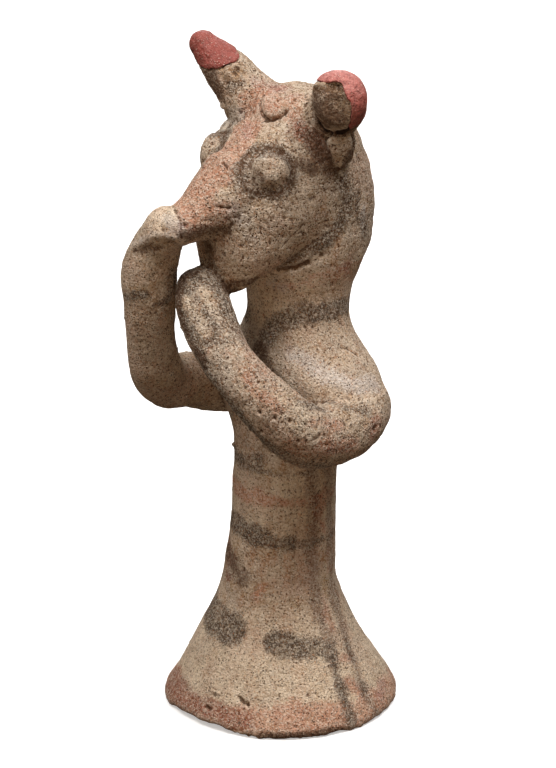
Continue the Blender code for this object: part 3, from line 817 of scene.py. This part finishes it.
# Where the clay is palest, wiped clean, and painted light on the neck under the jaw: a route, its half width
# and how pale it is
WIPED_AND_LIT = [
    ([(-6, -27.6, 99.8), (-0.6, -27.4, 102)], 5, 1), ([(0, -6.5, 85), (8, -2.5, 85)], 8, 1.3),
    ([(-12, -8.2, 112.2), (-10.2, -6.2, 115.2), (-6.2, -6, 118.2)], 4, 1),
    ([(22.6, -18.4, 71), (24.6, -15.4, 67.6), (25.2, -12, 65.6)], 3.6, 1.2),
]


def bowls(places, spots):
    """The greatest of strength x bowl over all the spots, each a route, its half width and a strength."""
    return np.maximum.reduce([much * bowl(away_from(places, route), wide) for route, wide, much in spots])


def black_field(places):
    """The strokes, the rings round the eyes, two level bands, and the stripes where they reach the foot."""
    z = places[:, 2]
    stripes = strokes(places, [(FRONT_STRIPE, 1.1), (REAR_STRIPE, 0.4)])
    return np.maximum.reduce((
        2 * eye_rings(places, 1),
        strokes(places, BLACK),
        np.minimum(strokes(places, BLACK_HAND), 0.5),
        np.where(z < 55, level_band(places, 50.4, 0.9, 0.3), -9),
        level_band(places, 36.6, 1.4, 0.8),
        np.minimum(stripes, (15 - z) * 0.5),
    ))


def red_field(places):
    """The strokes, the muzzle up to the hand that covers it, the elbow, a thin wash over the left arm, the
    wide band, and the foot's rim, whose height dips at the front; less a bare spot on the forehead."""
    x, y, z = places.T
    hand = (places - (1.2, -25.7, 103.6)) @ (-0.55, -0.8, -0.2)
    rim = 5.6 - 0.9 * bowl(np.hypot(x - 1, y + 21), 13) + 1.4 * bowl(np.hypot(x - 17, y + 11), 9)
    return np.maximum.reduce((
        strokes(places, RED),
        np.minimum(strokes(places, RED_MUZZLE), 0.3 - 1.5 * hand),
        np.where(z < 70, strokes(places, RED_ELBOW), -9),
        np.minimum(strokes(places, RED_ARM), -0.45),
        np.where((z < 50) & (z > 40), level_band(places, 44.6, 0.6, 1.5) - 0.04 * x, -9),
        rim - z,
    )) - 3 * bowl(away_from(places, [(6.8, -7.6, 114.6), (7.1, -4.6, 116.9)]), 3)


def soil_and_shade_field(places):
    """How much burial soil, dirt and painted shade darken the clay, 0 to 1.9: in sheltered places, where
    shade is painted in, down the right arm and on the eye rings, but not on the bare strokes."""
    soil_and_shade = np.maximum(bowls(places, DIRT_AND_SHADE), 0.62 * np.clip(eye_rings(places, 1.2), 0, 1))
    return soil_and_shade * (1 - np.clip(strokes(places, BARE), 0, 1))


def pale_and_lit_field(places):
    """How pale the clay is, about 1 where it is palest: the spread of the foot and the stem under the arms,
    both painted light, the wiped places, with painted light on the neck among them, and the bare strokes.
    Below 0 it is darker, as low on the stem."""
    z = places[:, 2]
    foot = np.clip((26 - z) / 12, 0, 1)
    stem = 0.8 * bowl(z - 43, 11)
    light = np.maximum.reduce((foot, stem, bowls(places, WIPED_AND_LIT), strokes(places, BARE)))
    return light - 0.8 * bowl(z - 29, 9)


def add_field(mesh, name, values):
    """Keeps one number for every point of a mesh under a name, for its material."""
    field = mesh.attributes.new(name, "FLOAT", "POINT")
    field.data.foreach_set("value", np.clip(values, -3, 3).astype(np.float32))


# How deep a hollow is when it counts in full
HOLLOW_DEPTH = 0.12
FIELDS = {
    "black": np.minimum(black_field(places) + 0.6 * noise(places, 5.5, 41), -2.5 * strokes(places, BARE)),
    "brown": strokes(places, BROWN) + 0.7 * noise(places, 5, 44),
    "red": red_field(places) + 1.3 * noise(places, 6.5, 42),
    "rust": strokes(places, RUST) + 0.6 * noise(places, 2.4, 43),
    "purple": strokes(places, PURPLE),
    "pale": strokes(places, PALE) - 0.3,
    "soil_and_shade": soil_and_shade_field(places),
    "pale_and_lit": np.clip(pale_and_lit_field(places), -1, 1),
    "hollow": np.clip(hollow / HOLLOW_DEPTH, -1, 1),
    "coarse": coarseness(places),
    "broken": broken,
}
for name, values in FIELDS.items():
    add_field(figure.data, name, values)
MOST_TRIANGLES = 196000
thin = figure.modifiers.new("thin", "DECIMATE")
thin.ratio = min(1, MOST_TRIANGLES / (2 * len(figure.data.polygons)))
applied(figure)
figure.data.shade_smooth()

# The clay's finish. Buff clay with cream and tan clouds, dark and pale grains of temper of half a
# millimetre, the worn paints over it, soil in the hollows with painted shade there, in sheltered places
# and in the grit's lows, painted highlights on the bumps, and painted light on the foot, stem and neck.


class Wash:
    """One output of a shader node. Arithmetic on washes adds the Math nodes that work it out."""

    def __init__(self, socket):
        self.socket = socket

    def node(self, kind, settings, inputs, output=0):
        """A node of a kind in this wash's tree: settings are made first, then inputs by name or number."""
        tree = self.socket.id_data
        made = tree.nodes.new(kind)
        for name, value in settings.items():
            setattr(made, name, value)
        for key, value in inputs.items():
            if isinstance(value, Wash):
                tree.links.new(value.socket, made.inputs[key])
            else:
                made.inputs[key].default_value = value
        return Wash(made.outputs[output])

    def maths(self, operation, first, second):
        """A Math node of an operation on two washes or numbers."""
        return self.node("ShaderNodeMath", {"operation": operation}, {0: first, 1: second})

    def __add__(self, other):
        return self.maths("ADD", self, other)

    def __radd__(self, other):
        return self.maths("ADD", other, self)

    def __sub__(self, other):
        return self.maths("SUBTRACT", self, other)

    def __rsub__(self, other):
        return self.maths("SUBTRACT", other, self)

    def __mul__(self, other):
        return self.maths("MULTIPLY", self, other)

    def __rmul__(self, other):
        return self.maths("MULTIPLY", other, self)

    def step(self, low, high):
        """0 below low, 1 above high, and a smooth rise between."""
        settings = {"interpolation_type": "SMOOTHSTEP"}
        return self.node("ShaderNodeMapRange", settings, {"Value": self, "From Min": low, "From Max": high})

    def vector(self, operation, second, third=(0, 0, 0)):
        """A Vector Math node of an operation on this and one or two more vectors."""
        return self.node("ShaderNodeVectorMath", {"operation": operation}, {0: self, 1: second, 2: third})

    def grain(self, size, seed, detail=2, roughness=0.5):
        """Noise, 0 to 1, over this vector, with a feature size in steps."""
        shifted = self.vector("ADD", (seed * 0.37, seed * 0.11, 0))
        inputs = {"Vector": shifted, "Scale": 1 / (size * STEP), "Detail": detail, "Roughness": roughness}
        return self.node("ShaderNodeTexNoise", {}, inputs)

    def cells(self, size, seed, output=0):
        """Many scattered cells of a size: the distance, in cells, from the middle of the nearest."""
        shifted = self.vector("ADD", (seed * 0.23, 0, seed * 0.41))
        return self.node("ShaderNodeTexVoronoi", {}, {"Vector": shifted, "Scale": 1 / (size * STEP)}, output)

    def shaken(self, size, by):
        """This vector with every place moved about by noise of a feature size, by as many steps."""
        moved = self.node("ShaderNodeTexNoise", {}, {"Vector": self, "Scale": 1 / (size * STEP)}, 1)
        return moved.vector("MULTIPLY_ADD", (by * STEP, by * STEP, by * STEP), self)

    def chance(self, size, seed):
        """A number for each of the same cells, evenly spread from 0 to 1."""
        return self.node("ShaderNodeSeparateColor", {}, {0: self.cells(size, seed, 1)})

    def dots(self, size, seed, least, spread):
        """1 within each cell's own round grain, whose radius is least plus up to spread, in cells."""
        return (self.chance(size, seed) * spread + least - self.cells(size, seed)).step(-0.04, 0.06)

    def between(self, first, second):
        """The first colour where this is 0, shading into the second where it is 1."""
        inputs = {0: self, 6: first, 7: second}
        inputs = {key: (*value, 1) if isinstance(value, tuple) else value for key, value in inputs.items()}
        return self.node("ShaderNodeMix", {"data_type": "RGBA"}, inputs, 2)

    def over(self, amount, colour):
        """This colour with another laid over it by an amount."""
        return amount.between(self, colour)

    def field(self, name):
        """The number that a mesh's points keep under a name."""
        return self.node("ShaderNodeAttribute", {"attribute_name": name}, {}, 2)


def finish(name):
    """A new material: its Principled shader's node and the wash of its Object coordinates."""
    made = bpy.data.materials.new(name)
    made.use_nodes = True
    shader = made.node_tree.nodes["Principled BSDF"]
    coordinates = made.node_tree.nodes.new("ShaderNodeTexCoord")
    return made, shader, Wash(coordinates.outputs["Object"])


def connect(wash, shader, name):
    """Links a wash to a shader's socket by its name."""
    wash.socket.id_data.links.new(wash.socket, shader.inputs[name])


CREAM = (0.68, 0.53, 0.39)
# The palest clay, also used as painted light on the foot, the stem and the neck
CLEAN_AND_LIT = (0.84, 0.68, 0.5)
TAN = (0.5, 0.345, 0.23)
STAIN = (0.47, 0.29, 0.14)
PINKISH = (0.62, 0.41, 0.31)
GREYED = (0.42, 0.355, 0.295)
BROKEN_CLAY = (0.42, 0.25, 0.12)
# Brown of the dark grains, also painted shade in the grit's lows
PIT_BROWN_AND_SHADE = (0.175, 0.08, 0.028)
PIT_DARK = (0.085, 0.038, 0.015)
# Painted shadow, near black, in the deepest gaps beside the left ear and round the horns
CREVICE_SHADOW = (0.022, 0.01, 0.005)
RUST_GRAIN = (0.46, 0.19, 0.075)
# Pale grains, also a painted highlight on the bumps
PALE_GRAIN_AND_HIGHLIGHT = (0.88, 0.76, 0.63)
RED_PAINT = (0.54, 0.205, 0.12)
RUST_PAINT = (0.27, 0.075, 0.045)
PURPLE_PAINT = (0.42, 0.21, 0.2)
BROWN_PAINT = (0.17, 0.105, 0.08)
BLACK_PAINT = (0.082, 0.06, 0.042)
PALE_CRUST = (0.76, 0.71, 0.68)
# Soil, also used as painted shade in hollows, in sheltered places and under the fills
SOIL_AND_SHADE = (0.105, 0.05, 0.024)
# Each paint's field, its colour, its strength and how far it has worn off the grit's tops
PAINTS = [
    ("red", RED_PAINT, 0.7, 0.3), ("rust", RUST_PAINT, 0.75, 0.45), ("purple", PURPLE_PAINT, 0.5, 0.4),
    ("brown", BROWN_PAINT, 0.62, 0.35), ("black", BLACK_PAINT, 0.97, 0.42), ("pale", PALE_CRUST, 0.6, 0.6),
]
CLAY_ROUGHNESS = 0.93
CLAY_SHINE = 0.25
CLAY_BUMP = 0.85


def clay_finish():
    """The clay's material: each line lays one colour over the last by an amount worked out from noises."""
    made, shader, at = finish("fired_clay")
    coarse, hollow, broken, soil_and_shade, pale_and_lit = (
        at.field(name) for name in ("coarse", "hollow", "broken", "soil_and_shade", "pale_and_lit")
    )
    fine = at.grain(0.34, 1, 2, 0.6)
    grit = at.grain(0.55, 2, 3, 0.7)
    clouds = at.grain(3.6, 3, 4, 0.6)
    drift = at.grain(11, 4, 2)
    # The holes and pale grains are ragged, because fine noise shakes their coordinates
    shaken = at.shaken(0.4, 0.25)
    shade = at.chance(0.28, 5)
    pins = shaken.dots(0.5, 6, 0.05, 0.3)
    holes = shaken.dots(1.3, 9, -0.12, 0.3) * at.grain(3, 10).step(0.42, 0.6)
    pale_grains = shaken.dots(0.5, 11, 0.08, 0.34)
    rough = 0.4 + 0.6 * coarse
    less = 1 - 0.5 * pale_and_lit
    # Streaks where the wet clay was wiped up and down
    streaks = at.vector("MULTIPLY", (1, 1, 0.3)).grain(2.2, 21, 4, 0.65)
    layers = [
        (clouds.step(0.42, 0.66) * (0.75 - 0.4 * pale_and_lit), TAN),
        (at.grain(5.2, 12, 4, 0.65).step(0.5, 0.7) * 0.5 * less, STAIN),
        (at.grain(1.9, 13, 4, 0.7).step(0.52, 0.64) * 0.3, STAIN),
        (streaks.step(0.5, 0.64) * 0.4 * less, RUST_GRAIN),
        (drift.step(0.5, 0.66) * 0.45 * less, PINKISH),
        ((1 - drift).step(0.52, 0.68) * 0.4 * less, GREYED),
    ]
    # Paint and soil lie in the lows of the grit, and have worn off its tops and in whole patches
    ragged = (fine - 0.5) * 2.6 + (grit - 0.5) * 3 + (clouds - 0.5) * 3
    tops = (grit + (at.chance(0.4, 7) - 0.5) * 0.35).step(0.5, 0.66)
    patch = at.grain(2.6, 7, 3, 0.6).step(0.34, 0.52)
    for name, paint, strength, worn in PAINTS:
        cover = (at.field(name) + ragged).step(-0.4, 0.8) * (1 - tops * worn) * (0.7 + 0.3 * patch)
        layers.append((cover * strength, paint))
    layers += [
        # The grit's lows darker, painted shade as well as brown grains
        ((0.48 - grit).step(0, 0.17) * rough * 0.4, PIT_BROWN_AND_SHADE),
        ((0.4 - shade).step(0, 0.4) * rough * 0.55, PIT_BROWN_AND_SHADE),
        (shade.step(0.5, 1) * rough * 0.5, PALE_GRAIN_AND_HIGHLIGHT),
        ((grit + (fine - 0.5) * 1.2).step(0.55, 0.74) * rough * 0.25, PALE_GRAIN_AND_HIGHLIGHT),
        ((broken + (grit - 0.5) * 2).step(0.2, 0.9) * 0.6, BROKEN_CLAY),
        (pale_grains * rough * 0.45, PALE_GRAIN_AND_HIGHLIGHT),
        (at.dots(0.8, 13, 0, 0.3) * 0.4, RUST_GRAIN),
        (pins * rough * 0.9, PIT_DARK),
        (holes * rough * 0.75, PIT_DARK),
        # Bumps paler, as wear and a painted highlight; hollows darker, as soil and painted shade
        ((0 - hollow).step(0.15, 0.9) * 0.25, PALE_GRAIN_AND_HIGHLIGHT),
        (hollow.step(0.1, 0.9) * 0.75, SOIL_AND_SHADE),
        # Soil, and painted shade in sheltered places
        ((soil_and_shade * 3 - 1.2 + ragged * 0.7).step(-0.4, 0.9) * (1 - tops * 0.45) * 0.85, SOIL_AND_SHADE),
        # A painted shadow in the deepest gaps
        ((soil_and_shade + (grit - 0.5) * 0.5).step(1.05, 1.4) * 0.9, CREVICE_SHADOW),
    ]
    # Palest where wiped and bare, and painted light on the foot, the stem under the arms and the neck
    colour = pale_and_lit.between(CREAM, CLEAN_AND_LIT)
    for amount, paint in layers:
        colour = colour.over(amount, paint)
    connect(colour, shader, "Base Color")

    raised = (grit * 0.65 + fine * 0.5 + shade * 0.25 + pale_grains * 0.2) * rough
    inputs = {"Strength": 1, "Distance": CLAY_BUMP * STEP, "Height": raised - pins * 0.45 - holes * 0.6}
    connect(at.node("ShaderNodeBump", {}, inputs), shader, "Normal")
    shader.inputs["Roughness"].default_value = CLAY_ROUGHNESS
    shader.inputs["Specular IOR Level"].default_value = CLAY_SHINE
    return made


figure.data.materials.clear()
figure.data.materials.append(clay_finish())
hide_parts("figure")
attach(figure, "root")

# The red fills. Both lost horn tips are made up in smooth tinted plaster or wax, rubbed down flush with
# the clay, a little glossy, with tiny pale specks, darker where dirt has caught in the seams, and painted
# shade underneath.

FILL_RED = (0.47, 0.125, 0.1)
FILL_PALE = (0.72, 0.36, 0.32)
FILL_DARK = (0.17, 0.04, 0.03)
# A deeper red, also painted shade on the right fill and on the left one's low corner
FILL_DEEP_AND_SHADE = (0.3, 0.062, 0.045)
FILL_GRAIN = 0.2
FILL_BUMP = 0.3


def fill_finish():
    """The fills' material: paler where the left one faces up, a deeper red on the right one that is partly
    painted shade, specks, and soil with painted shade underneath.
    """
    made, shader, at = finish("red_fill")
    # Paler where the left fill faces up
    colour = (at.field("paler_facing_up") * 0.35).between(FILL_RED, FILL_PALE)
    # Deeper red, partly painted shade
    colour = colour.over(at.field("deep"), FILL_DEEP_AND_SHADE)
    chalk = at.grain(2.2, 1, 4, 0.6).step(0.45, 0.68)
    colour = colour.over(chalk * (0.3 - 0.2 * at.field("deep")), FILL_PALE)
    colour = colour.over(at.grain(1.1, 2, 4, 0.7).step(0.47, 0.64) * 0.6, FILL_DARK)
    colour = colour.over(at.grain(0.24, 3, 1).step(0.66, 0.74) * 0.6, PALE_GRAIN_AND_HIGHLIGHT)
    # Soil in the seams, and painted shade where the fills face down
    colour = colour.over(at.field("hollow").step(0.05, 0.7) * 0.9, SOIL_AND_SHADE)
    connect(colour, shader, "Base Color")
    connect(0.42 + at.grain(0.8, 4, 3) * 0.35, shader, "Roughness")
    scratched = (at.grain(0.35, 5, 3) - 0.5) * 1.4 + (at.grain(1.4, 6) - 0.5) * 2
    inputs = {"Strength": 0.9, "Distance": FILL_BUMP * STEP, "Height": scratched}
    connect(at.node("ShaderNodeBump", {}, inputs), shader, "Normal")
    return made


red = fill_finish()
names = (("left_horn_fill", "horn_tip_left"), ("right_horn_fill", "horn_tip_right"))
for fill, (name, node) in zip(fills, names):
    fill.name = fill.data.name = name
    refilled(fill, FILL_GRAIN)
    places = read_points(fill.data) / STEP
    places = wiped(fill.data, places, np.full(len(places), 0.5), 3)
    write_points(fill.data, places)
    lumps = 0.14 * noise(places, 2.6, 31) + 0.06 * noise(places, 0.9, 32)
    write_points(fill.data, places + lumps[:, None] * read_points(fill.data, "normal"))
    places = read_points(fill.data) / STEP
    normal = read_points(fill.data, "normal")
    edge = places - wiped(fill.data, places, np.full(len(places), 0.7), 6)
    # Dirt has caught in the seams; underneath, where a fill faces down, the darkening is painted shade
    under = 0.6 * np.clip(normal @ (-0.42, -0.3, -0.86), 0, 1)
    right_seam = [(-15.8, -7.8, 126.2), (-12.4, -7.2, 126.8), (-8.4, -4.6, 127.8)]
    by_seam = 0.2 * bowl(away_from(places, right_seam), 3.2)
    hollow = -(edge * normal).sum(1) / HOLLOW_DEPTH
    add_field(fill.data, "hollow", hollow + np.maximum(under, by_seam))
    left = name == "left_horn_fill"
    # The left fill is made paler where it faces up
    add_field(fill.data, "paler_facing_up", np.clip(normal[:, 2], 0, 1) * left)
    # The right fill a deeper red, partly painted shade, and the left one's low corner painted shade
    shaded_low_corner = 0.7 * bowl(np.linalg.norm(places - (17.3, 4.1, 120), axis=1), 3.6)
    add_field(fill.data, "deep", np.where(left, 0.15 + shaded_low_corner, 1))
    fill.data.materials.clear()
    fill.data.materials.append(red)
    fill.data.shade_smooth()
    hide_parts(node)
    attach(fill, "root")

# The studio. A pale floor, soft white lights above on both sides, over the camera and behind, weak warm
# ones low at the front, and a faint warm light from everywhere. The floor throws no light back up, as a
# distant one wouldn't.

FLOOR_HALF = 3.0
FLOOR_GLOW = 0.42
SKY_GLOW = 0.06
WHITE = (1, 0.985, 0.97)
LIGHTS = [
    # turn from the camera's direction and height above the horizon in degrees, watts, colour
    (60, 65, 3.6, WHITE),
    (-60, 62, 3.6, WHITE),
    (0, 65, 1.15, WHITE),
    (120, 60, 1.4, WHITE),
    (-6, 8, 1, (1, 0.74, 0.52)),
    (-100, 16, 0.5, (1, 0.88, 0.76)),
    (180, 25, 1.6, WHITE),
    (45, 8, 0.45, (1, 0.72, 0.5)),
    (-52, 22, 0.3, (1, 0.86, 0.7)),
]
LIGHT_AWAY = 0.8
LIGHT_SIZE = 0.35
CAMERA_TURN = 52
CAMERA_RISE = 18.5
CAMERA_AWAY = 0.65
LENS = 158
SENSOR = 36
IMAGE_HEIGHT = 768
# The camera looks at this height, in steps, and the figure stands this far right of and above the middle
# of the picture, in pixels
LOOK_HEIGHT = 65.5
PICTURE_MOVE = (4, 4)


def direction(turn, rise):
    """The unit vector towards a light or camera, turned round from -Y towards +X and raised, in degrees."""
    turn, rise = np.radians(turn), np.radians(rise)
    return Vector((np.sin(turn) * np.cos(rise), -np.cos(turn) * np.cos(rise), np.sin(rise)))


def aimed(made, place, back):
    """Links an object at a place, looking against the back direction."""
    bpy.context.scene.collection.objects.link(made)
    made.location = place
    made.rotation_euler = (-back).to_track_quat("-Z", "Y").to_euler()
    return made


middle = Vector((0, 0, (cad_high.z + cad_low.z) / 2))
for turn, rise, watts, colour in LIGHTS:
    lamp = bpy.data.lights.new("softbox", "AREA")
    lamp.shape = "DISK"
    lamp.size = LIGHT_SIZE
    lamp.energy = watts
    lamp.color = colour
    towards = direction(CAMERA_TURN + turn, rise)
    aimed(bpy.data.objects.new("softbox", lamp), middle + LIGHT_AWAY * towards, towards)

floor_mesh = bpy.data.meshes.new("floor")
corners = [(x * FLOOR_HALF, y * FLOOR_HALF, 0) for x, y in ((-1, -1), (1, -1), (1, 1), (-1, 1))]
floor_mesh.from_pydata(corners, [], [(0, 1, 2, 3)])
floor = bpy.data.objects.new("floor", floor_mesh)
bpy.context.scene.collection.objects.link(floor)
floor.visible_diffuse = False
floor.visible_glossy = False
paper, paper_shader, _ = finish("pale_paper")
paper_shader.inputs["Base Color"].default_value = (0.9, 0.9, 0.9, 1)
paper_shader.inputs["Roughness"].default_value = 0.9
paper_shader.inputs["Emission Color"].default_value = (1, 0.99, 0.98, 1)
paper_shader.inputs["Emission Strength"].default_value = FLOOR_GLOW
floor_mesh.materials.append(paper)

world = bpy.data.worlds.new("studio")
bpy.context.scene.world = world
world.use_nodes = True
sky = world.node_tree.nodes["Background"]
sky.inputs["Color"].default_value = (1, 0.84, 0.68, 1)
sky.inputs["Strength"].default_value = SKY_GLOW

lens = bpy.data.cameras.new("camera")
lens.lens = LENS
lens.sensor_width = SENSOR
lens.clip_start = 0.01
lens.clip_end = 50
back = direction(CAMERA_TURN, CAMERA_RISE)
right = Vector((-back.y, back.x, 0)).normalized()
up = back.cross(right)
pixel = CAMERA_AWAY * SENSOR / LENS / IMAGE_HEIGHT
target = Vector((0, 0, LOOK_HEIGHT * STEP)) - pixel * (PICTURE_MOVE[0] * right + PICTURE_MOVE[1] * up)
camera = bpy.data.objects.new("camera", lens)
bpy.context.scene.camera = aimed(camera, target + CAMERA_AWAY * back, back)
bpy.context.scene.view_settings.view_transform = "Standard"
